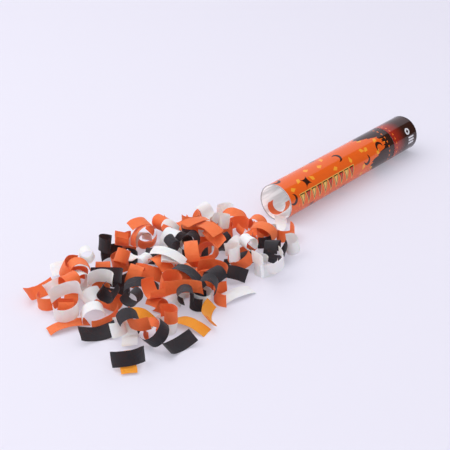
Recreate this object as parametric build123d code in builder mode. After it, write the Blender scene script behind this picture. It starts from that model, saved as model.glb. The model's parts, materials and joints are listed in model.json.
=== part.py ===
from build123d import *
import os
import random
from dataclasses import dataclass
from itertools import cycle
from math import ceil, cos, degrees, radians, sin, sqrt, tan

import numpy as np

# A twist-fired spring confetti popper, just fired: it lies on its side with its load spilled from the mouth.
# The barrel's axis is the X axis. The base's end face is at x = 0, and the mouth is at negative x.
# The popper rests on a floor one outer radius below the axis. The spring has thrown the plunger forward.
# Lengths are in millimetres and angles in degrees.

# Overall sizes
overall_length = 300.0
outer_diameter = 50.0
base_length = 60.0

# Barrel and printed films
barrel_wall = 1.0
film_thickness = 0.15
film_gap = 0.05
rim_proud = 0.1
lip_width = 1.0
lip_round = 0.4

# Twist joint: the base sleeve turns on the seat's spigot and is kept there by a snap ring
sleeve_wall = 2.0
running_gap = 0.08
twist_gap = 0.3
collar_thickness = 1.0
collar_recess = 0.3
spigot_length = 20.0
spigot_wall = 2.6
ring_width = 1.4
ring_depth_in_spigot = 1.1
ring_depth_in_sleeve = 0.7
ring_gap = 0.15
ring_opening = 8.0
ring_station = 9.0

# Spring seat
seat_clearance = 0.05
plug_depth = 15.0
plug_wall = 2.0
web_thickness = 4.0
boss_height = 4.0

# Lock disc and thrust washer
washer_thickness = 1.0
washer_width = 5.0
lock_disc_thickness = 4.0
key_count = 4
key_width = 3.0
key_height = 1.8
shoulder_height = 1.6
shoulder_length = 2.0
part_clearance = 0.15

# End cap
cap_thickness = 2.0
cap_skirt_length = 8.0
cap_skirt_wall = 2.0
cap_chamfer = 0.5

# Pull rod with its crossbar
shank_width = 10.0
shank_thickness = 5.0
crossbar_length = 18.0
crossbar_depth = 5.0
slot_clearance = 0.3
lock_gap = 0.3
stud_radius = 5.0
stud_length = 6.0

# Pusher plate, wad and screw
bore_clearance = 0.3
plate_thickness = 5.0
plate_skirt_length = 10.0
plate_skirt_wall = 2.0
wad_thickness = 12.0
card_thickness = 0.8
screw_radius = 1.5
screw_length = 10.0
screw_head_radius = 2.8
screw_head_height = 2.0
screw_drive_length = 3.6
screw_drive_width = 0.6
screw_drive_depth = 1.0
rod_washer_radius = 3.5
rod_washer_thickness = 0.5
screw_recess_depth = 3.0

# Spring
spring_length_fired = 150.0
spring_length_cocked = 40.0
spring_wire = 1.8
spring_mean_radius = 14.0
spring_turns = 11
spring_fit = 0.4

# Confetti: curled paper strips in a fan-shaped heap in front of the mouth
strip_length = 46.0
strip_width = 16.5
strip_thickness = 0.25
strip_slant = 8.0
curl_turns = (295.0, 250.0, 205.0, 150.0, 70.0)
curl_shares = (2, 4, 6, 2, 1)
curl_unevenness = 0.15
bent_back_share = 0.08
pitch_ranges = [(-12.0, 12.0), (20.0, 55.0), (60.0, 88.0)]
pitch_shares = (5, 2, 4)
heap_strip_count = 175
mouth_strip_count = 6
heap_length = 312.0
heap_start = 16.0
heap_half_width = 84.0
heap_half_width_at_mouth = 22.0
heap_spread = 34.0
heap_height = 40.0
heap_height_at_mouth = 11.0
heap_slope = 0.26
mouth_depth = 40.0
mouth_fill_height = 8.0
rest_gap = 0.4
sample_step = 0.45
coarse_step = 1.2
tries = 150
seed = 5

# Colours of the other strips, dealt in turn so that every part of the heap has all of them
colour_round = "orange white orange black orange white orange white black orange".split()

# Strips laid by hand where they show, before the rest of the heap. Each row gives the colour, the place ahead of the
# mouth as a share of the heap's reach and aside as a share of its half width, the way that the strip's width points,
# its tilt from level, its roll (0 lies like a cup and 180 like an arch) and the angle that it curls through.
laid_strips = [
    ("orange", -0.04, 0.05, 195, 12, 0, 215),
    ("orange", 0.98, 1.02, 85, 35, 0, 100),
    ("orange", 0.99, 0.79, 200, 85, 0, 210),
    ("orange", 1.05, 0.20, 70, 0, 180, 40),
    ("white", 1.02, 0.35, 223, 88, 0, 190),
    ("black", 1.04, -0.32, 61, 36, 0, 105),
    ("white", 0.97, 0.05, 235, 0, 180, 200),
    ("amber", 1.07, -0.95, 140, 0, 180, 60),
    ("black", 1.07, -0.98, 60, 62, 180, 130),
    ("amber", 0.88, -0.40, 30, 10, 180, 110),
    ("orange", 0.91, -0.79, 223, 0, 180, 300),
    ("black", 0.91, -1.26, 83, 24, 0, 105),
    ("amber", 0.79, -1.02, 10, 0, 180, 60),
    ("amber", 0.71, -1.13, 130, 50, 0, 90),
    ("white", 0.54, -0.98, 75, 4, 180, 45),
    ("black", 0.46, -0.62, 20, 50, 180, 120),
    ("white", 0.34, -0.86, 223, 90, 0, 185),
    ("black", 0.25, -0.74, 255, 62, 0, 175),
    ("orange", 0.09, -0.43, 262, 90, 0, 190),
    ("orange", 0.12, 0.43, 40, 10, 180, 150),
    ("orange", 0.22, 0.29, 220, 85, 0, 250),
    ("white", 0.28, -0.14, 100, 20, 180, 110),
    ("orange", 0.30, 0.95, 60, 10, 0, 170),
    ("white", 0.37, 1.00, 30, 12, 180, 110),
    ("black", 0.43, 0.17, 205, 85, 0, 150),
    ("black", 0.55, 0.57, 130, 10, 180, 140),
    ("orange", 0.74, 0.79, 140, 0, 180, 200),
    ("white", 0.80, 1.23, 60, 35, 180, 70),
    ("black", 0.73, 0.52, 225, 90, 0, 185),
    ("black", 0.80, 0.29, 222, 90, 0, 170),
    ("black", 0.77, -0.07, 40, 10, 180, 120),
]

# Derived radii, from the outside in
outer_radius = outer_diameter / 2
film_radius = outer_radius - rim_proud
tube_radius = film_radius - film_thickness - film_gap
bore_radius = tube_radius - barrel_wall
sleeve_bore_radius = tube_radius - sleeve_wall
spigot_radius = sleeve_bore_radius - running_gap
plug_radius = bore_radius - seat_clearance
collar_radius = film_radius - collar_recess
spring_bore_radius = spring_mean_radius - spring_wire / 2
boss_radius = spring_bore_radius - spring_fit
plate_radius = bore_radius - bore_clearance
shank_hole_radius = sqrt(shank_width**2 + shank_thickness**2) / 2 + slot_clearance
slot_length = crossbar_length + 2 * slot_clearance
slot_width = shank_thickness + 2 * slot_clearance
screw_hole_radius = screw_radius + part_clearance
pilot_radius = screw_radius + seat_clearance

# Derived stations along X, from the base's end face to the mouth
mouth_x = -overall_length
floor_z = -outer_radius
collar_rear_x = -base_length + collar_thickness / 2
barrel_rear_x = collar_rear_x - collar_thickness
sleeve_front_x = collar_rear_x + twist_gap
spigot_rear_x = collar_rear_x + spigot_length
lock_disc_front_x = spigot_rear_x + washer_thickness
lock_disc_rear_x = lock_disc_front_x + lock_disc_thickness
seat_face_x = barrel_rear_x - web_thickness
plunger_travel = spring_length_fired - spring_length_cocked
plate_rear_x = seat_face_x - spring_length_fired
plate_front_x = plate_rear_x - plate_thickness
crossbar_front_x = lock_disc_rear_x + lock_gap - plunger_travel
wad_front_x = plate_front_x - wad_thickness
heap_reach = heap_start + heap_length


def disc(x, length, radius, mode=Mode.ADD):
    """A round disc about the X axis, from x towards the base, in the part being built."""
    with BuildSketch(Plane.YZ.offset(x)) as face:
        Circle(radius)
    extrude(face.sketch, amount=length, mode=mode)


def ring(x, length, outer, inner, mode=Mode.ADD):
    """A ring about the X axis, from x towards the base, in the part being built."""
    with BuildSketch(Plane.YZ.offset(x)) as face:
        Circle(outer)
        Circle(inner, mode=Mode.SUBTRACT)
    extrude(face.sketch, amount=length, mode=mode)


def bar(x, length, width, height, mode=Mode.ADD):
    """A flat bar along X, width across Y and height across Z, in the part being built."""
    with BuildSketch(Plane.YZ.offset(x)) as face:
        Rectangle(width, height)
    extrude(face.sketch, amount=length, mode=mode)


# Barrel: a clear tube whose mouth ends in a thin lip
with BuildPart() as barrel_tube:
    ring(mouth_x, barrel_rear_x - mouth_x, tube_radius, bore_radius)
    ring(mouth_x, lip_width, outer_radius, bore_radius)
    lip_edges = barrel_tube.edges().filter_by(GeomType.CIRCLE).group_by(Axis.X)[0]
    fillet(lip_edges, radius=min(lip_round, 0.4 * (outer_radius - bore_radius)))

# Printed film around the barrel, up to the lip
with BuildPart() as barrel_film:
    film_front_x = mouth_x + lip_width
    ring(film_front_x, barrel_rear_x - film_front_x, film_radius, film_radius - film_thickness)

# Spring seat: a plug in the barrel, a collar against its end and a spigot that carries the base
with BuildPart() as spring_seat:
    ring(barrel_rear_x - plug_depth, plug_depth, plug_radius, plug_radius - plug_wall)
    disc(seat_face_x, web_thickness, plug_radius)
    disc(barrel_rear_x, collar_thickness, collar_radius)
    ring(collar_rear_x, spigot_length, spigot_radius, spigot_radius - spigot_wall)
    disc(seat_face_x - boss_height, boss_height, boss_radius)
    ring(
        collar_rear_x + ring_station - ring_gap,
        ring_width + 2 * ring_gap,
        spigot_radius,
        spigot_radius - ring_depth_in_spigot - ring_gap,
        mode=Mode.SUBTRACT,
    )
    bar(
        seat_face_x - boss_height,
        collar_rear_x - seat_face_x + boss_height,
        slot_length,
        slot_width,
        mode=Mode.SUBTRACT,
    )

# Snap ring: a split ring half in the spigot's groove and half in the sleeve's
with BuildPart() as snap_ring:
    ring(
        collar_rear_x + ring_station,
        ring_width,
        sleeve_bore_radius + ring_depth_in_sleeve,
        spigot_radius - ring_depth_in_spigot,
    )
    with BuildSketch(Plane.YZ.offset(collar_rear_x + ring_station)) as ring_slit:
        with Locations((0, -spigot_radius)):
            Rectangle(ring_opening, spigot_radius)
    extrude(ring_slit.sketch, amount=ring_width, mode=Mode.SUBTRACT)

# Thrust washer between the spigot's end and the lock disc
with BuildPart() as thrust_washer:
    washer_radius = sleeve_bore_radius - part_clearance
    ring(spigot_rear_x, washer_thickness, washer_radius, washer_radius - washer_width)

# Lock disc: the crossbar passes its slot when the base is turned to release, and is held a quarter turn away
with BuildPart() as lock_disc:
    lock_disc_radius = sleeve_bore_radius - part_clearance
    disc(lock_disc_front_x, lock_disc_thickness, lock_disc_radius)
    disc(lock_disc_front_x, lock_disc_thickness, shank_hole_radius, mode=Mode.SUBTRACT)
    bar(lock_disc_front_x, lock_disc_thickness, slot_length, slot_width, mode=Mode.SUBTRACT)
    with BuildSketch(Plane.YZ.offset(lock_disc_front_x)) as key_notches:
        with PolarLocations(lock_disc_radius, key_count, start_angle=180 / key_count):
            Rectangle(2 * (key_height + part_clearance), key_width + 2 * part_clearance)
    extrude(key_notches.sketch, amount=lock_disc_thickness, mode=Mode.SUBTRACT)

# Base sleeve: the part that is twisted, with a snap-ring groove, a shoulder and keys for the lock disc
with BuildPart() as base_sleeve:
    ring(sleeve_front_x, -cap_thickness - sleeve_front_x, tube_radius, sleeve_bore_radius)
    ring(
        collar_rear_x + ring_station - ring_gap,
        ring_width + 2 * ring_gap,
        sleeve_bore_radius + ring_depth_in_sleeve + ring_gap,
        sleeve_bore_radius,
        mode=Mode.SUBTRACT,
    )
    ring(lock_disc_rear_x, shoulder_length, sleeve_bore_radius, sleeve_bore_radius - shoulder_height)
    with BuildSketch(Plane.YZ.offset(lock_disc_front_x)) as keys:
        with PolarLocations(sleeve_bore_radius, key_count, start_angle=180 / key_count):
            Rectangle(2 * key_height, key_width)
        Circle(sleeve_bore_radius + sleeve_wall / 2, mode=Mode.INTERSECT)
    extrude(keys.sketch, amount=lock_disc_thickness)

# Printed film around the base sleeve
with BuildPart() as base_film:
    ring(sleeve_front_x, -cap_thickness - sleeve_front_x, film_radius, film_radius - film_thickness)

# End cap: a flanged plug that closes the base and gives the popper a flat end to stand on
with BuildPart() as end_cap:
    disc(-cap_thickness, cap_thickness, outer_radius)
    skirt_front_x = -cap_thickness - cap_skirt_length
    skirt_radius = sleeve_bore_radius - part_clearance
    ring(skirt_front_x, cap_skirt_length, skirt_radius, skirt_radius - cap_skirt_wall)
    cap_edge = end_cap.edges().filter_by(GeomType.CIRCLE).group_by(Axis.X)[-1]
    chamfer(cap_edge, length=cap_chamfer)

# Pull rod: a flat shank with a crossbar at its tail and a round stud at its head
with BuildPart() as pull_rod:
    shank_front_x = plate_rear_x + stud_length
    bar(shank_front_x, crossbar_front_x - shank_front_x, shank_width, shank_thickness)
    bar(crossbar_front_x, crossbar_depth, crossbar_length, shank_thickness)
    disc(plate_rear_x, stud_length, stud_radius)
    disc(plate_rear_x, screw_length, pilot_radius, mode=Mode.SUBTRACT)

# Pusher plate: a piston with a guide skirt, a boss that centres the spring and a socket for the rod
with BuildPart() as pusher_plate:
    disc(plate_front_x, plate_thickness, plate_radius)
    ring(plate_rear_x, plate_skirt_length, plate_radius, plate_radius - plate_skirt_wall)
    ring(plate_rear_x, stud_length, boss_radius, stud_radius + seat_clearance)
    disc(plate_front_x, plate_thickness, screw_hole_radius, mode=Mode.SUBTRACT)
    disc(plate_front_x, screw_recess_depth, rod_washer_radius + part_clearance, mode=Mode.SUBTRACT)

# Washer and screw that hold the rod to the plate
recess_floor_x = plate_front_x + screw_recess_depth
screw_seat_x = recess_floor_x - rod_washer_thickness
with BuildPart() as rod_washer:
    ring(screw_seat_x, rod_washer_thickness, rod_washer_radius, screw_hole_radius)

with BuildPart() as rod_screw:
    disc(screw_seat_x, screw_length, screw_radius)
    screw_top_x = screw_seat_x - screw_head_height
    disc(screw_top_x, screw_head_height, screw_head_radius)
    head_edge = rod_screw.edges().filter_by(GeomType.CIRCLE).group_by(Axis.X)[0]
    fillet(head_edge, radius=screw_head_height / 3)
    bar(screw_top_x, screw_drive_depth, screw_drive_length, screw_drive_width, mode=Mode.SUBTRACT)
    bar(screw_top_x, screw_drive_depth, screw_drive_width, screw_drive_length, mode=Mode.SUBTRACT)

# Felt wad and card disc that push the load
with BuildPart() as felt_wad:
    disc(wad_front_x, wad_thickness, plate_radius)

with BuildPart() as card_disc:
    disc(wad_front_x - card_thickness, card_thickness, plate_radius)

# Spring between the seat and the pusher plate, with its ends ground flat
with BuildPart() as spring:
    spring_pitch = spring_length_fired / spring_turns
    with BuildLine() as coil:
        Helix(
            pitch=spring_pitch,
            height=spring_length_fired + 2 * spring_wire,
            radius=spring_mean_radius,
            center=(plate_rear_x - spring_wire, 0, 0),
            direction=(1, 0, 0),
        )
    with BuildSketch(Plane(origin=coil.line @ 0, z_dir=coil.line % 0)) as wire_section:
        Circle(spring_wire / 2)
    sweep(wire_section.sketch, path=coil.line, is_frenet=True)
    split(bisect_by=Plane.YZ.offset(plate_rear_x), keep=Keep.TOP)
    split(bisect_by=Plane.YZ.offset(seat_face_x), keep=Keep.BOTTOM)


@dataclass
class Strip:
    """A curled paper strip: signed bend radii with their lengths, and the plane that its curl is drawn on."""

    curl: list
    plane: Plane
    slant: float


def moved_plane(plane, shift):
    """A plane moved without turning."""
    return Plane(origin=plane.origin + shift, x_dir=plane.x_dir, z_dir=plane.z_dir)


def centre_line(curl, step):
    """Points along the middle of a strip's curl, measured from halfway between its ends."""
    x, y, heading = 0.0, 0.0, 0.0
    points = [(x, y)]
    for radius, length in curl:
        steps = ceil(length / step)
        turn = length / steps / radius
        chord = 2 * radius * sin(turn / 2)
        for _ in range(steps):
            x += chord * cos(heading + turn / 2)
            y += chord * sin(heading + turn / 2)
            heading += turn
            points.append((x, y))
    points = np.array(points)
    return points - (points[0] + points[-1]) / 2


def surface_points(strip, step):
    """Points all over a strip's middle surface, a step apart."""
    line = centre_line(strip.curl, step)
    across = np.linspace(-strip_width / 2, strip_width / 2, ceil(strip_width / step) + 1)
    plane = strip.plane
    directions = (plane.x_dir, plane.y_dir, plane.z_dir, plane.origin)
    x_dir, y_dir, z_dir, origin = (np.array(tuple(direction)) for direction in directions)
    width_dir = z_dir + strip.slant * x_dir
    points = line[:, :1] * x_dir + line[:, 1:] * y_dir
    points = points[:, None, :] + across[None, :, None] * width_dir
    return points.reshape(-1, 3) + origin


class Heap:
    """A height map of everything that a dropped strip can land on, with the room above it."""

    def __init__(self):
        self.low_x = mouth_x - heap_reach - 3 * strip_length
        self.low_y = -heap_half_width - 3 * strip_length
        grid_x = np.arange(self.low_x, mouth_x + 2 * mouth_depth + strip_length, sample_step)
        grid_y = np.arange(self.low_y, -self.low_y, sample_step)
        x, y = np.meshgrid(grid_x, grid_y, indexing="ij")
        wall = np.sqrt(np.clip(bore_radius**2 - y**2, 0, None))
        beside_mouth = x > mouth_x - 2 * sample_step
        in_bore = beside_mouth & (abs(y) < bore_radius - 2 * sample_step)
        under_barrel = beside_mouth & (abs(y) < outer_radius + 2 * sample_step)
        self.top = np.full(x.shape, floor_z)
        self.top[under_barrel] = np.inf
        self.top[in_bore] = -wall[in_bore]
        self.roof = np.full(x.shape, np.inf)
        self.roof[in_bore] = np.minimum(wall[in_bore] - rest_gap, mouth_fill_height)

    def cells(self, points):
        """Grid cells that points fall in."""
        i = np.rint((points[:, 0] - self.low_x) / sample_step).astype(int)
        j = np.rint((points[:, 1] - self.low_y) / sample_step).astype(int)
        return i, j

    def resting_lift(self, points):
        """How far to lift a strip so that it just rests on the heap, or infinity where it has no room."""
        i, j = self.cells(points)
        lift = np.max(self.top[i, j] - points[:, 2]) + rest_gap
        fits = np.all(points[:, 2] + lift < self.roof[i, j])
        return lift if fits else np.inf

    def drop(self, strip):
        """Let a strip come to rest and raise the heap under it and just around it, if it has room."""
        points = surface_points(strip, sample_step)
        lift = self.resting_lift(points)
        if lift == np.inf:
            return False
        strip.plane = moved_plane(strip.plane, Vector(0, 0, lift))
        i, j = self.cells(points)
        for di in (-1, 0, 1):
            for dj in (-1, 0, 1):
                np.maximum.at(self.top, (i + di, j + dj), points[:, 2] + lift)
        return True

    def keep_clear(self, strip):
        """Let nothing more be dropped on a strip."""
        self.roof[self.cells(surface_points(strip, sample_step))] = -np.inf


def curl_arcs(turn, first_share):
    """A curl's radii and lengths: its first share bends a little more tightly than the rest."""
    turns = (turn * (1 + curl_unevenness) / 2, turn * (1 - curl_unevenness) / 2)
    lengths = (strip_length * first_share, strip_length * (1 - first_share))
    return [(length / radians(part), length) for length, part in zip(lengths, turns)]


def lay_plane(x, y, yaw, pitch, roll, turn):
    """The plane of a curl, from the way its width points and tilts and how it rolls about its width."""
    yaw, pitch, start = radians(yaw), radians(pitch), radians(roll - turn / 2)
    across = Vector(cos(pitch) * cos(yaw), cos(pitch) * sin(yaw), sin(pitch))
    level = Vector(-sin(yaw), cos(yaw), 0)
    return Plane(origin=(x, y, 0), x_dir=level * cos(start) + across.cross(level) * sin(start), z_dir=across)


def laid_strip(reach_share, aside_share, yaw, pitch, roll, turn):
    """A strip laid by hand."""
    x = mouth_x - reach_share * heap_reach
    plane = lay_plane(x, aside_share * heap_half_width, yaw, pitch, roll, turn)
    return Strip(curl_arcs(turn, 0.5), plane, 0.0)


def heap_place(draw):
    """A point in the fan in front of the mouth."""
    distance = heap_start + heap_length * draw.random()
    spread_width = heap_half_width_at_mouth + distance * tan(radians(heap_spread))
    return mouth_x - distance, min(heap_half_width, spread_width) * draw.uniform(-1, 1)


def heap_ceiling(x):
    """The most that the heap rises at x: it is low at the mouth and higher further out."""
    return floor_z + min(heap_height, heap_height_at_mouth + heap_slope * abs(x - mouth_x))


def mouth_place(draw):
    """A point just inside the mouth."""
    return mouth_x + mouth_depth * draw.uniform(0.1, 1.0), 0.25 * bore_radius * draw.uniform(-1, 1)


def thrown_strip(draw, heap, place):
    """A strip of random curl that tries many places and ways to lie and takes the lowest, or None if all are high."""
    turn = draw.choices(curl_turns, curl_shares)[0] * draw.uniform(0.9, 1.1)
    curl = curl_arcs(turn, draw.uniform(0.4, 0.6))
    if draw.random() < bent_back_share:
        (first_radius, first_length), (second_radius, second_length) = curl
        curl = [(first_radius, first_length), (-second_radius, second_length)]
    pitches = draw.choices(pitch_ranges, pitch_shares)[0]
    slant = sin(radians(draw.uniform(-strip_slant, strip_slant)))
    lowest, best = np.inf, None
    for _ in range(tries):
        yaw, roll = draw.uniform(0, 360), draw.uniform(0, 360)
        x, y = place(draw)
        strip = Strip(curl, lay_plane(x, y, yaw, draw.uniform(*pitches), roll, turn), slant)
        points = surface_points(strip, coarse_step)
        highest = points[:, 2].max() + heap.resting_lift(points)
        if highest < min(lowest, heap_ceiling(x)):
            lowest, best = highest, strip
    return best


def dropped_strips():
    """Coloured strips in the order that they drop: those laid by hand, some in the mouth and the rest of the heap."""
    draw = random.Random(seed)
    heap = Heap()
    colours = cycle(colour_round)
    by_hand = [(colour, laid_strip(*lie)) for colour, *lie in laid_strips]
    strips = [(colour, strip) for colour, strip in by_hand if heap.drop(strip)]
    for _, strip in strips:
        heap.keep_clear(strip)
    places = [mouth_place] * mouth_strip_count + [heap_place] * heap_strip_count
    for place in places:
        strip = thrown_strip(draw, heap, place)
        if strip and heap.drop(strip):
            strips.append((next(colours), strip))
    return strips


def strip_solid(strip):
    """The paper of one strip, its curl drawn as arcs on both faces and extruded across its width."""
    line = centre_line(strip.curl, strip_length)
    width_dir = strip.plane.z_dir + strip.plane.x_dir * strip.slant
    base = moved_plane(strip.plane, width_dir * (-strip_width / 2))
    with BuildPart() as paper:
        with BuildSketch(base) as section:
            with BuildLine():
                ends = []
                for side in (strip_thickness / 2, -strip_thickness / 2):
                    start = Vector(*line[0]) + Vector(0, side)
                    heading = 0.0
                    ends.append(start)
                    for radius, length in strip.curl:
                        turn = degrees(length / radius)
                        tangent = Vector(1, 0).rotate(Axis.Z, heading)
                        arc = JernArc(start, tangent, abs(radius - side), turn)
                        start = arc @ 1
                        heading += turn
                    ends.append(start)
                Line(ends[0], ends[2])
                Line(ends[1], ends[3])
            make_face()
        extrude(section.sketch, amount=strip_width * width_dir.length, dir=width_dir)
    return paper.part


confetti = {"orange": [], "white": [], "black": [], "amber": []}
for colour, strip in dropped_strips():
    confetti[colour].append(strip_solid(strip))

pieces = {
    "barrel_tube": barrel_tube.part,
    "barrel_film": barrel_film.part,
    "spring_seat": spring_seat.part,
    "snap_ring": snap_ring.part,
    "thrust_washer": thrust_washer.part,
    "lock_disc": lock_disc.part,
    "base_sleeve": base_sleeve.part,
    "base_film": base_film.part,
    "end_cap": end_cap.part,
    "pull_rod": pull_rod.part,
    "pusher_plate": pusher_plate.part,
    "rod_washer": rod_washer.part,
    "rod_screw": rod_screw.part,
    "felt_wad": felt_wad.part,
    "card_disc": card_disc.part,
    "spring": spring.part,
}
for colour, papers in confetti.items():
    pieces[f"{colour}_confetti"] = Compound(children=papers)

os.makedirs("parts", exist_ok=True)
for name, piece in pieces.items():
    piece.label = name
    export_step(piece, f"parts/{name}.step")
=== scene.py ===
"""Looks of a twist-fired confetti popper that lies on its side with its load of tissue strips spilled.

Run as a script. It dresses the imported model, which is printed films, a clear barrel, inner works and curled
paper, and sets up the studio around it. Lengths are in metres unless a name says millimetres.
"""

import json
import math
import random

import bmesh
import bpy
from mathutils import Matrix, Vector, noise

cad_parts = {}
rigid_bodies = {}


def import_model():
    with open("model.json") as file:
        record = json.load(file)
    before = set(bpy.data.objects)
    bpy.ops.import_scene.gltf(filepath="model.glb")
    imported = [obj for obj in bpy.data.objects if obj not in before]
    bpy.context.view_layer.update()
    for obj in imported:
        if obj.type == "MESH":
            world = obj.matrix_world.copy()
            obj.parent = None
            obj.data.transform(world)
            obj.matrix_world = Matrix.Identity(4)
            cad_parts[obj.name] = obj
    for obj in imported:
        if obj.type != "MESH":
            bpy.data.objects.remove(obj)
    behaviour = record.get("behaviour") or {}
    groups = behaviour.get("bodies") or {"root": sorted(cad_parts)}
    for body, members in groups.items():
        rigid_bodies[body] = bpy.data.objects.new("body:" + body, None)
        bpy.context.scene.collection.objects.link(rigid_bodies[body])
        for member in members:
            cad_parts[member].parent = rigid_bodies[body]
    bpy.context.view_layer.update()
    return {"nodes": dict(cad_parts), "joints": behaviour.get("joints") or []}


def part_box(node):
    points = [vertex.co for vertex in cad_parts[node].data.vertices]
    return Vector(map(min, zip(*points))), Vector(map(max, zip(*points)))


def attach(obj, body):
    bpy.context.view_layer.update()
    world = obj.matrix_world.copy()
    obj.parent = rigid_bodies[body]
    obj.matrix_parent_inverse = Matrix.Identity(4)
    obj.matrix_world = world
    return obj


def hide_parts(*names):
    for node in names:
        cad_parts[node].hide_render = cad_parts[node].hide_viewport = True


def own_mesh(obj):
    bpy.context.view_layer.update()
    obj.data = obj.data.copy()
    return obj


bl_info = {
    "name": "Confetti popper",
    "version": (1, 0, 0),
    "blender": (4, 5, 0),
    "location": "View3D > Sidebar > Popper",
    "description": "Dresses a twist-fired confetti popper and its spilled tissue strips",
    "category": "Object",
}

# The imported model, in an otherwise empty scene
for leftover in list(bpy.data.objects):
    bpy.data.objects.remove(leftover)
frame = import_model()

# Millimetres in a metre, for the print
MM = 1000.0

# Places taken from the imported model
barrel_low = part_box("barrel_tube")[0]
barrel_film_low, barrel_film_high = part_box("barrel_film")
base_film_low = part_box("base_film")[0]
spring_low, spring_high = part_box("spring")
mouth_x = barrel_low.x
floor_z = barrel_low.z
film_radius = barrel_film_high.z
film_radius_mm = MM * film_radius
twist_line_mm = -MM * (barrel_film_high.x + base_film_low.x) / 2
plunger_joint = next(joint for joint in frame["joints"] if joint["name"] == "plunger_slide")

# The film's thickness, its gloss, and the angle from the top at which its ends lap
FILM_THICKNESS = 0.00015
FILM_GLOSS = {"Specular IOR Level": 0.45}
FILM_SEAM = math.radians(-150)

# The twist arrows' places before and behind the twist line
BARREL_ARROWS_MM = 12.0
BASE_ARROWS_MM = -7.0

# The pennant row's place on the print, along from the base's end and up from the barrel's side
PENNANT_COUNT = 10
PENNANT_START_MM = 158.0
PENNANT_STRING_MM = 12.0

# One seed for the strips' tones and crumples
PAPER_SEED = 4

# Up and down crumples fade out below this height over the floor
CRUMPLE_HEIGHT = 0.006

# All crumples fade over this reach before the mouth, down to this share in the barrel
CRUMPLE_REACH = 0.02
CRUMPLE_IN_BARREL = 0.15


def screen_colour(red, green, blue):
    """A colour given as it looks on a screen, from 0 to 255, as the linear values that shaders use."""

    def linear(level):
        share = level / 255
        return share / 12.92 if share <= 0.04045 else ((share + 0.055) / 1.055) ** 2.4

    return linear(red), linear(green), linear(blue)


def shaded(colour, share):
    """A colour with all its levels brought down to a share of what they are."""
    return [level * share for level in colour]


def colour_property(name, description, red, green, blue):
    """A colour that a user can change."""
    return bpy.props.FloatVectorProperty(
        name=name,
        description=description,
        subtype="COLOR",
        size=3,
        min=0,
        max=1,
        default=screen_colour(red, green, blue),
    )


def length_property(name, description, default):
    """A length that a user can change."""
    return bpy.props.FloatProperty(
        name=name, description=description, default=default, min=0, unit="LENGTH", subtype="DISTANCE"
    )


class PopperColours(bpy.types.PropertyGroup):
    """Colours of the print, the paper, the works and the studio"""

    field: colour_property("Field", "Print's main colour", 243, 103, 30)
    kite: colour_property("Kites", "Small kites scattered on the field", 250, 168, 52)
    ink: colour_property("Ink", "Dark ink of the print", 55, 28, 19)
    ember: colour_property("Ember", "Red band behind the twist line", 166, 42, 25)
    pennant: colour_property("Pennants", "Fill of every other pennant", 198, 62, 34)
    trim: colour_property("Trim", "Outline of the pennants, and fill of the rest", 240, 190, 96)
    arrow: colour_property("Arrows", "Twist arrows", 236, 116, 40)
    film_back: colour_property("Film back", "Inner side of the film, and its pale marks", 236, 235, 238)
    orange_paper: colour_property("Orange paper", "Orange tissue strips", 250, 115, 56)
    white_paper: colour_property("White paper", "White tissue strips and the nylon washer", 250, 242, 239)
    black_paper: colour_property("Black paper", "Charcoal tissue strips", 33, 31, 37)
    amber_paper: colour_property("Amber paper", "Amber tissue strips", 255, 150, 30)
    black_plastic: colour_property("Black plastic", "End cap, base sleeve and spring seat", 22, 20, 22)
    natural_plastic: colour_property("Natural plastic", "Moulded inner works", 224, 222, 214)
    felt: colour_property("Felt", "Wad behind the load", 196, 192, 184)
    card: colour_property("Card", "Card disc in front of the wad", 178, 172, 162)
    steel: colour_property("Steel", "Spring, screw, washer and snap ring", 176, 178, 182)
    floor: colour_property("Floor", "Studio floor and backdrop", 234, 231, 243)


class PopperSizes(bpy.types.PropertyGroup):
    """Sizes of the print, the paper's crumple and the studio"""

    kite_length: length_property("Kite length", "Length of a printed kite", 0.0105)
    star_radius: length_property("Star radius", "Reach of a printed star's points", 0.0105)
    moon_radius: length_property("Moon radius", "Radius of a printed crescent", 0.0075)
    arrow_pitch: length_property("Arrow pitch", "Distance between twist arrows", 0.0068)
    pennant_width: length_property("Pennant width", "Width of one pennant along the barrel", 0.0122)
    pennant_drop: length_property("Pennant drop", "Depth of one pennant around the barrel", 0.0200)
    crumple: length_property("Crumple", "How far the paper strays from its even curl", 0.0016)
    crumple_scale: length_property("Crumple scale", "Size of the paper's broad crumples", 0.022)
    crease: length_property("Crease", "Depth of the paper's small creases", 0.00035)
    crease_scale: length_property("Crease scale", "Size of the paper's small creases", 0.007)
    camera_lens: bpy.props.FloatProperty(
        name="Lens", description="Focal length of the camera", default=88.5, min=1, subtype="DISTANCE_CAMERA"
    )


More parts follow.
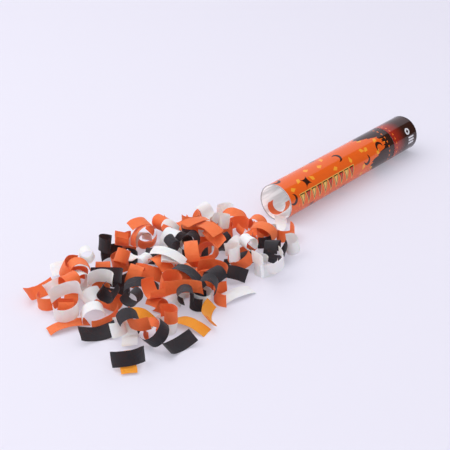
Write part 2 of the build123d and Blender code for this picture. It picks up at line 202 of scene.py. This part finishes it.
class Signal:
    """A shader value that takes part in Python arithmetic: each operation adds its own Math node."""

    def __init__(self, tree, socket):
        self.tree = tree
        self.socket = socket

    def output(self, name):
        """Another output of the node that this value comes from."""
        return Signal(self.tree, self.socket.node.outputs[name])

    def math(self, operation, *others):
        inputs = dict(enumerate((self, *others)))
        return self.tree.node("ShaderNodeMath", {"operation": operation}, inputs)

    def __add__(self, other):
        return self.math("ADD", other)

    __radd__ = __add__

    def __sub__(self, other):
        return self.math("SUBTRACT", other)

    def __rsub__(self, other):
        return self.tree.node("ShaderNodeMath", {"operation": "SUBTRACT"}, {0: other, 1: self})

    def __mul__(self, other):
        return self.math("MULTIPLY", other)

    __rmul__ = __mul__

    def __truediv__(self, other):
        return self.math("DIVIDE", other)

    def __pow__(self, other):
        return self.math("POWER", other)

    def __abs__(self):
        return self.math("ABSOLUTE")

    def __lt__(self, other):
        return self.math("LESS_THAN", other)

    def __gt__(self, other):
        return self.math("GREATER_THAN", other)

    def __floor__(self):
        return self.math("FLOOR")

    def sin(self):
        return self.math("SINE")

    def cos(self):
        return self.math("COSINE")

    def root(self):
        return self.math("SQRT")

    def fraction(self):
        return self.math("FRACT")

    def most(self, other):
        return self.math("MAXIMUM", other)

    def rise(self, low, high):
        """0 below low, 1 above high and smooth between."""
        ends = {"Value": self, "From Min": low, "From Max": high}
        return self.tree.node("ShaderNodeMapRange", {"interpolation_type": "SMOOTHSTEP"}, ends)

    def fall(self, low, high):
        """1 below low, 0 above high and smooth between."""
        ends = {"Value": self, "From Min": low, "From Max": high, "To Min": 1.0, "To Max": 0.0}
        return self.tree.node("ShaderNodeMapRange", {"interpolation_type": "SMOOTHSTEP"}, ends)


class NodeTree:
    """The nodes of a material or of the world, in the making."""

    def __init__(self, tree):
        self.tree = tree
        self.tree.nodes.clear()

    def node(self, kind, settings=None, inputs=None, output=0):
        """Adds a node: its settings first, then the values or links of its sockets."""
        node = self.tree.nodes.new(kind)
        for name, value in (settings or {}).items():
            setattr(node, name, value)
        for name, value in (inputs or {}).items():
            self.feed(node.inputs[name], value)
        return node if output is None else Signal(self, node.outputs[output])

    def feed(self, socket, value):
        """Links a signal to a socket, or sets the socket to a plain value."""
        if isinstance(value, Signal):
            self.tree.links.new(value.socket, socket)
        elif socket.type == "RGBA" and len(value) == 3:
            socket.default_value = (*value, 1.0)
        else:
            socket.default_value = value

    def axes(self, vector):
        """The X of a vector, with its Y and Z as other outputs."""
        return self.node("ShaderNodeSeparateXYZ", inputs={0: vector})

    def mixed(self, share, under, over):
        """A shader that goes from under to over as share goes from 0 to 1."""
        return self.node("ShaderNodeMixShader", inputs={0: share, 1: under, 2: over})

    def seen(self):
        """1 for what the camera sees, by itself or in gloss and clear plastic, and 0 for light."""
        path = self.node("ShaderNodeLightPath", output="Is Camera Ray")
        return path.most(path.output("Is Glossy Ray")).most(path.output("Is Transmission Ray"))


class Finish(NodeTree):
    """A material in the making."""

    def __init__(self, name, **constants):
        self.material = bpy.data.materials.new(name)
        self.material.use_nodes = True
        super().__init__(self.material.node_tree)
        self.shader = self.node("ShaderNodeBsdfPrincipled", inputs=constants)
        self.end = self.node("ShaderNodeOutputMaterial", inputs={"Surface": self.shader}, output=None)

    def surface(self, **values):
        """Feeds the main shader's sockets, named with underscores for spaces."""
        for name, value in values.items():
            self.feed(self.shader.socket.node.inputs[name.replace("_", " ")], value)

    def show(self, shader):
        """Ends the material in a shader other than its main one."""
        self.feed(self.end.inputs["Surface"], shader)

    def blend(self, share, under, over):
        """A colour that goes from under to over as share goes from 0 to 1."""
        settings = {"data_type": "RGBA", "clamp_factor": True}
        return self.node("ShaderNodeMix", settings, {0: share, 6: under, 7: over}, output=2)

    def place(self):
        """The point on the piece, in its own coordinates."""
        return self.node("ShaderNodeTexCoord", output="Object")

    def grain(self, scale, detail=2.0, stretch=(1.0, 1.0, 1.0), roughness=0.5):
        """Noise from 0 to 1 over the piece's own coordinates."""
        spread = self.node("ShaderNodeMapping", inputs={"Vector": self.place(), "Scale": stretch})
        inputs = {"Vector": spread, "Scale": scale, "Detail": detail, "Roughness": roughness}
        return self.node("ShaderNodeTexNoise", inputs=inputs)

    def relief(self, height, distance, strength):
        """Bumps the main shader's surface."""
        inputs = {"Height": height, "Distance": distance, "Strength": strength}
        self.surface(Normal=self.node("ShaderNodeBump", inputs=inputs))


def colours():
    return bpy.context.scene.popper_colours


def sizes():
    return bpy.context.scene.popper_sizes


def dress(node, finish):
    """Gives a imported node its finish."""
    slots = frame["nodes"][node].data.materials
    slots.clear()
    slots.append(finish.material)


def add_piece(name, shape, finish, body, node):
    """Makes an object of a bmesh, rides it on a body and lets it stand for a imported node."""
    mesh = bpy.data.meshes.new(name)
    shape.to_mesh(mesh)
    shape.free()
    mesh.materials.append(finish.material)
    piece = bpy.data.objects.new(name, mesh)
    bpy.context.scene.collection.objects.link(piece)
    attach(piece, body)
    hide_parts(node)
    return piece


def film_place(finish):
    """Where a point lies on the wrap: millimetres along from the base's end, and around from the top."""
    point = finish.axes(finish.place())
    along = point.output("X") * -MM
    angle = (point.output("Y") * -1.0).math("ARCTAN2", point.output("Z"))
    return along, angle * film_radius_mm, angle


def scatter(finish, along, around, pitch, jitter, seed):
    """Motifs strewn on a staggered grid: the place in each motif's own frame, and a random number for it."""
    column = math.floor(along / pitch)
    across = around / pitch + (column * 0.5).fraction()
    row = math.floor(across)
    cell = finish.node("ShaderNodeCombineXYZ", inputs={"X": column, "Y": row, "Z": seed})
    settings = {"noise_dimensions": "3D"}
    dice = finish.node("ShaderNodeTexWhiteNoise", settings, {"Vector": cell}, output="Color")
    throws = finish.node("ShaderNodeSeparateColor", inputs={0: dice})
    first, second, third = (throws.output(name) for name in ("Red", "Green", "Blue"))
    x = (along / pitch - column - 0.5 - (first - 0.5) * jitter) * pitch
    y = (across - row - 0.5 - (second - 0.5) * jitter) * pitch
    turn = third * math.tau
    chance = (first * 7.31).fraction()
    return x * turn.cos() + y * turn.sin(), y * turn.cos() - x * turn.sin(), chance


def kite_mask(x, y, length):
    """A kite with a long and a short end."""
    reach = 0.36 * length + (x > 0.0) * (0.28 * length)
    return (abs(x) / reach + abs(y) / (0.33 * length)).fall(0.92, 1.0)


def star_mask(x, y, radius):
    """A star with four drawn-out points."""
    hollow = 0.55
    return ((abs(x) / radius) ** hollow + (abs(y) / radius) ** hollow).fall(0.97, 1.02)


def moon_mask(x, y, radius):
    """A crescent: a disc with a smaller disc bitten out."""
    aside = x - 0.42 * radius
    bite = (aside * aside + y * y) / (0.8 * radius) ** 2
    return ((x * x + y * y) / radius**2).fall(0.93, 1.0) * bite.rise(0.95, 1.05)


def arrow_mask(along, around, station, direction):
    """A row of small triangles around the tube that point one way."""
    pitch = MM * sizes().arrow_pitch
    half_length = 0.30 * pitch
    place = ((around / pitch).fraction() - 0.5) * (direction * pitch)
    half_width = (half_length - place) * 0.42
    beside = abs(along - station) - half_width
    return beside.fall(-0.12, 0.08) * (abs(place) - half_length).fall(-0.1, 0.1)


def hill_mask(along, angle):
    """The dark land towards the base: broad hills with small peaks along their edge."""
    foot_mm = 93.0
    hills = (angle * 3.0 + 0.8).cos() * 21.0 + (angle * 8.0 + 2.0).sin() * 3.0
    peaks = abs((angle * 4.0).fraction() - 0.5) * 12.0 + abs((angle * 9.0).fraction() - 0.5) * 6.0
    return (along - hills - peaks).fall(foot_mm, foot_mm + 0.6)


def badge_mask(along, around):
    """A disc with a star-shaped hole."""
    radius = 5.0
    x = along - 21.0
    y = around - 24.0
    disc = (x * x + y * y).root().fall(radius - 0.1, radius + 0.2)
    return disc * (1.0 - star_mask(x, y, radius))


def bars_mask(along, around):
    """Three plain bars side by side."""
    pitch = 4.4
    bars = abs(((around - 40.0) / pitch).fraction() - 0.5).fall(0.3, 0.34)
    return bars * abs(along - 15.5).fall(6.2, 6.5) * abs(around - 39.0).fall(6.4, 6.6)


def pennant_row_box():
    """The pennant row's ends along the barrel, its string's place around it, and how far it drops."""
    length = PENNANT_COUNT * MM * sizes().pennant_width
    string = 0.5 * math.pi * film_radius_mm - PENNANT_STRING_MM
    return PENNANT_START_MM, PENNANT_START_MM + length, string, MM * sizes().pennant_drop


def pennant_room(along, around):
    """1 around the pennant row, where the print has nothing else."""
    first, last, string, drop = pennant_row_box()
    beside = abs(along - (first + last) / 2) - (last - first) / 2
    above = abs(around - string - drop / 2) - drop / 2
    return beside.fall(1.0, 3.0) * above.fall(1.0, 3.0)


def pennant_row(finish, paint, along, around):
    """A string of pennants along the barrel's side: a pale trim, a dark edge and fills that take turns."""
    inks = colours()
    first, last, string, drop = pennant_row_box()
    place = (along - first) / (MM * sizes().pennant_width)
    flag = math.floor(place)
    down = (around - string) / drop
    across = abs(place - flag - 0.5)
    on_row = (along > first) * (along < last) * (down > 0.0)
    inside = 0.5 - down * 0.5 - across
    paint = finish.blend(on_row * inside.rise(0.0, 0.02), paint, inks.trim)
    edge = on_row * inside.rise(0.07, 0.09) * (down > 0.05)
    paint = finish.blend(edge, paint, inks.ink)
    filling = on_row * inside.rise(0.15, 0.17) * (down > 0.12)
    fill = finish.blend((flag * 0.5).fraction() * 2.0, inks.pennant, inks.trim)
    return finish.blend(filling, paint, fill)


def barrel_print():
    """The barrel's print: kites, stars and moons on the field, a pennant row and a dark hilly edge."""
    inks = colours()
    finish = Finish("barrel_print", **FILM_GLOSS)
    along, around, angle = film_place(finish)
    tint = finish.grain(scale=16.0)
    paint = finish.blend(tint * 0.35, inks.field, shaded(inks.field, 0.82))
    open_field = 1.0 - pennant_room(along, around)

    x, y, chance = scatter(finish, along, around, pitch=21.0, jitter=0.6, seed=3.0)
    kites = kite_mask(x, y, MM * sizes().kite_length) * (chance > 0.3)
    paint = finish.blend(kites * open_field, paint, inks.kite)

    x, y, chance = scatter(finish, along + 9.0, around + 6.0, pitch=40.0, jitter=0.5, seed=8.0)
    stars = star_mask(x, y, MM * sizes().star_radius) * (chance > 0.5)
    moons = moon_mask(x, y, MM * sizes().moon_radius) * (chance < 0.5)
    paint = finish.blend(stars.most(moons) * open_field, paint, inks.ink)

    paint = pennant_row(finish, paint, along, around)
    paint = finish.blend(hill_mask(along, angle), paint, inks.ink)
    arrows = arrow_mask(along, around, station=twist_line_mm + BARREL_ARROWS_MM, direction=1.0)
    paint = finish.blend(arrows, paint, inks.arrow)
    film_surface(finish, paint, angle)
    return finish


def base_print():
    """The base's print: a red band with twist arrows that fades into black, and pale marks."""
    inks = colours()
    finish = Finish("base_print", **FILM_GLOSS)
    along, around, angle = film_place(finish)
    haze = finish.grain(scale=40.0, detail=3.0)
    paint = finish.blend((along + haze * 6.0).rise(28.0, 58.0), inks.ink, inks.ember)
    marks = badge_mask(along, around).most(bars_mask(along, around))
    paint = finish.blend(marks, paint, inks.film_back)
    arrows = arrow_mask(along, around, station=twist_line_mm + BASE_ARROWS_MM, direction=-1.0)
    paint = finish.blend(arrows, paint, inks.arrow)
    film_surface(finish, paint, angle)
    return finish


def film_surface(finish, paint, angle):
    """Glossy wrap, plain on its back: a faint ripple along the tube, a lap seam and fine scuffs."""
    point = finish.axes(finish.place())
    y = point.output("Y")
    z = point.output("Z")
    outside = (y * y + z * z).root().rise(film_radius - 0.0001, film_radius - 0.00006)
    finish.surface(Base_Color=finish.blend(outside, colours().film_back, paint))
    ripple = finish.grain(scale=55.0, stretch=(0.16, 1.0, 1.0))
    seam = (angle - FILM_SEAM).rise(0.0, 0.012) * 0.35
    finish.relief(ripple * 0.5 + seam, distance=0.00012, strength=0.6)
    scuffs = finish.grain(scale=420.0, detail=3.0, stretch=(0.3, 1.0, 1.0))
    finish.surface(Roughness=scuffs.rise(0.35, 0.9) * 0.05 + 0.06)


class POPPER_OT_film(bpy.types.Operator):
    """Wrap the barrel and the base in printed film"""

    bl_idname = "popper.film"
    bl_label = "Printed film"

    def execute(self, context):
        for node, body, finish in (
            ("barrel_film", "barrel", barrel_print()),
            ("base_film", "base", base_print()),
        ):
            add_piece(f"{node}_wrap", self.wrap(node), finish, body, node)
        return {"FINISHED"}

    def wrap(self, node):
        """A thin wrap spun about the barrel's axis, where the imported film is."""
        low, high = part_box(node)
        inner = high.z - FILM_THICKNESS
        section = ((low.x, high.z), (high.x, high.z), (high.x, inner), (low.x, inner))
        shape = bmesh.new()
        corners = [shape.verts.new((x, 0, z)) for x, z in section]
        edges = [shape.edges.new((corners[n - 1], corners[n])) for n in range(4)]
        turn = {"cent": (0, 0, 0), "axis": (1, 0, 0), "angle": math.tau, "steps": 192, "use_merge": True}
        bmesh.ops.spin(shape, geom=corners + edges, **turn)
        bmesh.ops.remove_doubles(shape, verts=shape.verts, dist=1e-6)
        bmesh.ops.recalc_face_normals(shape, faces=shape.faces)
        for face in shape.faces:
            face.smooth = abs(face.normal.x) < 0.5
        for edge in shape.edges:
            edge.smooth = edge.is_manifold and edge.calc_face_angle(0) < 0.5
        return shape


def clear_plastic():
    """Clear moulded plastic: see-through lip with painted dark edges, pale where the film's back shows
    through, painted glow at the mouth.
    """
    finish = Finish("clear_plastic", **{"IOR": 1.49, "Roughness": 0.07, "Coat Weight": 0.4})
    x = finish.axes(finish.place())
    flow = finish.grain(scale=95.0, stretch=(0.22, 1.0, 1.0))

    # Painted light: the wall glows near the mouth in streaks along the tube and grows darker deeper in,
    # standing in for the light that comes through it
    wall = shaded(colours().film_back, 0.66)
    finish.surface(Base_Color=finish.blend(flow.fall(0.35, 0.6), wall, shaded(wall, 0.86)))
    painted_glow = (x - mouth_x).fall(0.0, 0.12) * (flow.rise(0.38, 0.64) * 0.28 + 0.37)
    painted_glow = finish.blend(painted_glow, (0.0, 0.0, 0.0), colours().film_back)
    finish.surface(Emission_Color=painted_glow, Emission_Strength=1.0)

    # Painted shade: the lip's colour darkens where it is seen edge on, standing in for the dark edges that
    # clear plastic shows in light
    edge = finish.node("ShaderNodeLayerWeight", inputs={"Blend": 0.5}, output="Facing")
    tint = finish.blend(edge.rise(0.45, 0.85), (0.50, 0.50, 0.52), (0.03, 0.03, 0.035))
    look = {"Base Color": tint, "Roughness": 0.06, "IOR": 1.49, "Transmission Weight": 0.35}
    lip = finish.node("ShaderNodeBsdfPrincipled", inputs=look)
    in_lip = x.fall(barrel_film_low.x - 0.0004, barrel_film_low.x + 0.0002)
    finish.show(finish.mixed(in_lip, finish.shader, lip))
    return finish


def moulded_plastic(name, colour, roughness, grain_size):
    """Moulded plastic with a fine spark-eroded texture."""
    finish = Finish(name, **{"IOR": 1.5})
    texture = finish.grain(scale=1 / grain_size, detail=3.0)
    shade = finish.grain(scale=60.0)
    finish.surface(Base_Color=finish.blend(shade * 0.3, colour, shaded(colour, 0.8)))
    finish.surface(Roughness=texture * 0.12 + roughness)
    finish.relief(texture, distance=0.00004, strength=0.5)
    return finish


def drawn_steel():
    """Bright drawn and plated steel."""
    finish = Finish("drawn_steel", **{"Metallic": 1.0})
    bright = colours().steel
    streaks = finish.grain(scale=900.0, stretch=(0.1, 1.0, 1.0))
    finish.surface(Base_Color=finish.blend(streaks * 0.3, bright, shaded(bright, 0.7)))
    finish.surface(Roughness=streaks * 0.15 + 0.24)
    return finish


def fibrous(name, colour, scale, depth, roughness):
    """Felt or grey board: short fibres and flecks."""
    finish = Finish(name, **{"Roughness": roughness, "Sheen Weight": 0.2})
    fibres = finish.grain(scale, detail=6.0, roughness=0.7)
    flecks = finish.grain(scale * 0.35, detail=3.0).rise(0.62, 0.7) * 0.35
    paint = finish.blend(fibres.rise(0.3, 0.75), shaded(colour, 0.72), colour)
    finish.surface(Base_Color=finish.blend(flecks, paint, shaded(colour, 0.45)))
    finish.relief(fibres, distance=depth, strength=0.9)
    return finish


class POPPER_OT_shell(bpy.types.Operator):
    """Finish the clear barrel, the base sleeve and the end cap"""

    bl_idname = "popper.shell"
    bl_label = "Barrel and cap"

    def execute(self, context):
        black = colours().black_plastic
        dress("barrel_tube", clear_plastic())
        dress("base_sleeve", moulded_plastic("sleeve_plastic", black, roughness=0.42, grain_size=0.0004))
        dress("end_cap", moulded_plastic("cap_plastic", black, roughness=0.24, grain_size=0.0006))
        return {"FINISHED"}


class POPPER_OT_works(bpy.types.Operator):
    """Finish the spring, the plunger and the lock inside"""

    bl_idname = "popper.works"
    bl_label = "Inner works"

    def execute(self, context):
        inks = colours()
        black = moulded_plastic("seat_plastic", inks.black_plastic, roughness=0.4, grain_size=0.0005)
        natural = moulded_plastic("natural_plastic", inks.natural_plastic, roughness=0.38, grain_size=0.0005)
        nylon = moulded_plastic("washer_nylon", inks.white_paper, roughness=0.3, grain_size=0.0003)
        steel = drawn_steel()
        dress("spring_seat", black)
        for node in ("lock_disc", "pull_rod", "pusher_plate"):
            dress(node, natural)
        for node in ("snap_ring", "rod_screw", "rod_washer"):
            dress(node, steel)
        dress("thrust_washer", nylon)
        dress("felt_wad", fibrous("pressed_felt", inks.felt, scale=900.0, depth=0.0003, roughness=0.95))
        dress("card_disc", fibrous("grey_board", inks.card, scale=1400.0, depth=0.0001, roughness=0.85))
        self.coil(steel)
        return {"FINISHED"}

    def coil(self, steel):
        """The spring as a piece of its own on the barrel; how far it would close up is worked out but not
        used.
        """
        shape = bmesh.new()
        shape.from_mesh(frame["nodes"]["spring"].data)
        bmesh.ops.remove_doubles(shape, verts=shape.verts, dist=1e-6)
        coil = add_piece("spring_coil", shape, steel, "barrel", "spring")
        free_length = spring_high.x - spring_low.x
        keep = 1 - max(plunger_joint["range_m"]) / free_length
        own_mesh(coil)


def tissue(name, colour, mottle):
    """Thin dyed tissue: soft, a little see-through, with crepe, fold lines and each strip's own tone."""
    finish = Finish(
        name,
        **{
            "Roughness": 0.72,
            "IOR": 1.4,
            "Subsurface Weight": 0.35,
            "Subsurface Radius": (0.004, 0.0022, 0.0014),
            "Subsurface Scale": 0.35,
            "Sheen Weight": 0.12,
        },
    )
    tone = finish.node("ShaderNodeAttribute", {"attribute_name": "tone"}, output="Fac")
    cloud = finish.grain(scale=140.0, detail=4.0)
    deep = shaded(colour, 0.87)
    light = [min(1.0, level * 1.12 + 0.012) for level in colour]
    paint = finish.blend(tone, deep, light)
    finish.surface(Base_Color=finish.blend(cloud.rise(0.35, 0.7) * mottle, paint, deep))
    crepe = finish.grain(scale=520.0, detail=3.0, stretch=(1.0, 1.0, 0.6))
    stray = finish.grain(scale=30.0) * 0.012
    place = finish.node("ShaderNodeVectorMath", {"operation": "ADD"}, {0: finish.place(), 1: stray})
    cells = {"Vector": place, "Scale": 48.0}
    folds = finish.node("ShaderNodeTexVoronoi", {"feature": "DISTANCE_TO_EDGE"}, cells).fall(0.0, 0.06)
    finish.relief(crepe + folds * 1.1, distance=0.00025, strength=0.55)
    return finish


class POPPER_OT_confetti(bpy.types.Operator):
    """Turn the strips into creased tissue paper"""

    bl_idname = "popper.confetti"
    bl_label = "Tissue strips"

    def execute(self, context):
        draw = random.Random(PAPER_SEED)
        noise.seed_set(PAPER_SEED)
        for colour, mottle in (("orange", 0.22), ("white", 0.16), ("black", 0.25), ("amber", 0.18)):
            node = f"{colour}_confetti"
            finish = tissue(f"{colour}_tissue", getattr(colours(), f"{colour}_paper"), mottle)
            add_piece(f"{colour}_strips", self.strips(node, draw), finish, "confetti", node)
        return {"FINISHED"}

    def strips(self, node, draw):
        """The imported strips, cut finer across their width, crumpled and toned one by one."""
        shape = bmesh.new()
        shape.from_mesh(frame["nodes"][node].data)
        bmesh.ops.remove_doubles(shape, verts=shape.verts, dist=1e-6)
        limits = {"angle_face_threshold": math.radians(40), "angle_shape_threshold": math.radians(70)}
        bmesh.ops.join_triangles(shape, faces=shape.faces, **limits)
        least = max(edge.calc_length() for edge in shape.edges) * 0.9
        cross_edges = [edge for edge in shape.edges if edge.calc_length() > least]
        bmesh.ops.subdivide_edges(shape, edges=cross_edges, cuts=5, use_grid_fill=True)
        self.tone(shape, draw)
        for vert in shape.verts:
            vert.co += self.crumple(vert.co)
        for face in shape.faces:
            face.smooth = True
        sharp = math.radians(50)
        for edge in shape.edges:
            edge.smooth = edge.calc_face_angle(0) < sharp
        return shape

    def tone(self, shape, draw):
        """A random tone for each strip, as a value on its points."""
        layer = shape.verts.layers.float.new("tone")
        seen = set()
        for start in shape.verts:
            if start in seen:
                continue
            tone = draw.uniform(0.25, 1.0)
            front = [start]
            seen.add(start)
            while front:
                vert = front.pop()
                vert[layer] = tone
                for edge in vert.link_edges:
                    other = edge.other_vert(vert)
                    if other not in seen:
                        seen.add(other)
                        front.append(other)

    def crumple(self, place):
        """How far the paper at a place strays from its even curl: one field for all, so no strips meet."""
        set_up = sizes()
        shift = noise.noise_vector(place / set_up.crumple_scale) * set_up.crumple
        shift += noise.noise_vector(place / set_up.crease_scale) * set_up.crease
        off_floor = (place.z - floor_z) / CRUMPLE_HEIGHT
        shift.z *= min(1.0, max(0.0, off_floor))
        out_of_barrel = (mouth_x - place.x) / CRUMPLE_REACH
        return shift * min(1.0, max(CRUMPLE_IN_BARREL, out_of_barrel))


class POPPER_OT_stage(bpy.types.Operator):
    """Set up the studio: floor, light, world and camera"""

    bl_idname = "popper.stage"
    bl_label = "Studio"

    def execute(self, context):
        self.floor()
        self.world()
        self.lamps()
        self.camera()
        context.scene.view_settings.view_transform = "Standard"
        return {"FINISHED"}

    def floor(self):
        """A wide pale floor, seen partly in its plain colour near the popper and wholly far away."""
        shape = bmesh.new()
        bmesh.ops.create_grid(shape, x_segments=1, y_segments=1, size=12.0)
        bmesh.ops.translate(shape, verts=shape.verts, vec=(0, 0, floor_z))
        mesh = bpy.data.meshes.new("studio_floor")
        shape.to_mesh(mesh)
        shape.free()
        floor = bpy.data.objects.new("studio_floor", mesh)
        bpy.context.scene.collection.objects.link(floor)
        finish = Finish("studio_floor", **{"Roughness": 0.6, "Base Color": colours().floor})
        plain = finish.node("ShaderNodeEmission", inputs={"Color": colours().floor, "Strength": 1.0})
        length = {"operation": "LENGTH"}
        reach = finish.node("ShaderNodeVectorMath", length, {0: finish.place()}, output="Value")
        share = (reach.rise(1.5, 6.0) * 0.7 + 0.3) * finish.seen()
        finish.show(finish.mixed(share, finish.shader, plain))
        mesh.materials.append(finish.material)

    def world(self):
        """Soft light from all round and a pale backdrop, but a dark room for gloss on the near side."""
        world = bpy.data.worlds.new("studio")
        bpy.context.scene.world = world
        world.use_nodes = True
        nodes = NodeTree(world.node_tree)
        light, backdrop, dark = (
            nodes.node("ShaderNodeBackground", inputs={"Color": colour, "Strength": strength})
            for colour, strength in (
                ((0.93, 0.94, 1.0), 0.70),
                (colours().floor, 1.0),
                ((1.0, 1.0, 1.0), 0.08),
            )
        )
        glossy = nodes.node("ShaderNodeLightPath", output="Is Glossy Ray")
        way = nodes.axes(nodes.node("ShaderNodeTexCoord", output="Generated"))
        near_side = (way.output("Y") + way.output("Z") * 0.12).fall(-0.03, 0.03)
        studio = nodes.mixed(glossy * near_side, nodes.mixed(nodes.seen(), light, backdrop), dark)
        nodes.node("ShaderNodeOutputWorld", inputs={"Surface": studio}, output=None)

    def lamps(self):
        """A wide softbox overhead, a key from the left and a fill from the camera's side."""
        middle = Vector((-0.30, 0.0, floor_z))
        for name, place, size, power in (
            ("top_softbox", (-1.1, 0.8, 2.5), (3.2, 3.2), 31.0),
            ("key_softbox", (-0.8, 1.6, 2.1), (2.2, 1.8), 13.0),
            ("fill_softbox", (-1.2, -1.6, 1.5), (1.6, 1.2), 3.0),
        ):
            light = bpy.data.lights.new(name, "AREA")
            light.shape = "RECTANGLE"
            light.size, light.size_y = size
            light.energy = power
            lamp = bpy.data.objects.new(name, light)
            lamp.location = place
            lamp.rotation_euler = (middle - Vector(place)).to_track_quat("-Z", "Y").to_euler()
            bpy.context.scene.collection.objects.link(lamp)

    def camera(self):
        """The photograph's view: from the mouth's side, a little above."""
        camera = bpy.data.objects.new("camera", bpy.data.cameras.new("camera"))
        camera.data.lens = sizes().camera_lens
        camera.data.sensor_width = 36.0
        eye = Vector((-1.3056, -0.7679, 0.6356))
        aim = Vector((-0.3521, 0.0407, -0.0250))
        camera.location = eye
        camera.rotation_euler = (aim - eye).to_track_quat("-Z", "Y").to_euler()
        bpy.context.scene.collection.objects.link(camera)
        bpy.context.scene.camera = camera


class POPPER_PT_panel(bpy.types.Panel):
    """The popper's steps and settings"""

    bl_idname = "POPPER_PT_panel"
    bl_label = "Confetti popper"
    bl_space_type = "VIEW_3D"
    bl_region_type = "UI"
    bl_category = "Popper"

    def draw(self, context):
        for operator in OPERATORS:
            self.layout.operator(operator.bl_idname)
        for group in (context.scene.popper_sizes, context.scene.popper_colours):
            box = self.layout.box()
            for name in group.bl_rna.properties.keys():
                if name not in {"rna_type", "name"}:
                    box.prop(group, name)


OPERATORS = (POPPER_OT_shell, POPPER_OT_film, POPPER_OT_works, POPPER_OT_confetti, POPPER_OT_stage)
CLASSES = (PopperColours, PopperSizes, *OPERATORS, POPPER_PT_panel)


def register():
    for item in CLASSES:
        bpy.utils.register_class(item)
    bpy.types.Scene.popper_colours = bpy.props.PointerProperty(type=PopperColours)
    bpy.types.Scene.popper_sizes = bpy.props.PointerProperty(type=PopperSizes)


def unregister():
    del bpy.types.Scene.popper_sizes
    del bpy.types.Scene.popper_colours
    for item in reversed(CLASSES):
        bpy.utils.unregister_class(item)


def main():
    register()
    bpy.ops.popper.shell()
    bpy.ops.popper.film()
    bpy.ops.popper.works()
    bpy.ops.popper.confetti()
    bpy.ops.popper.stage()
    bpy.context.view_layer.update()


if __name__ == "__main__":
    main()
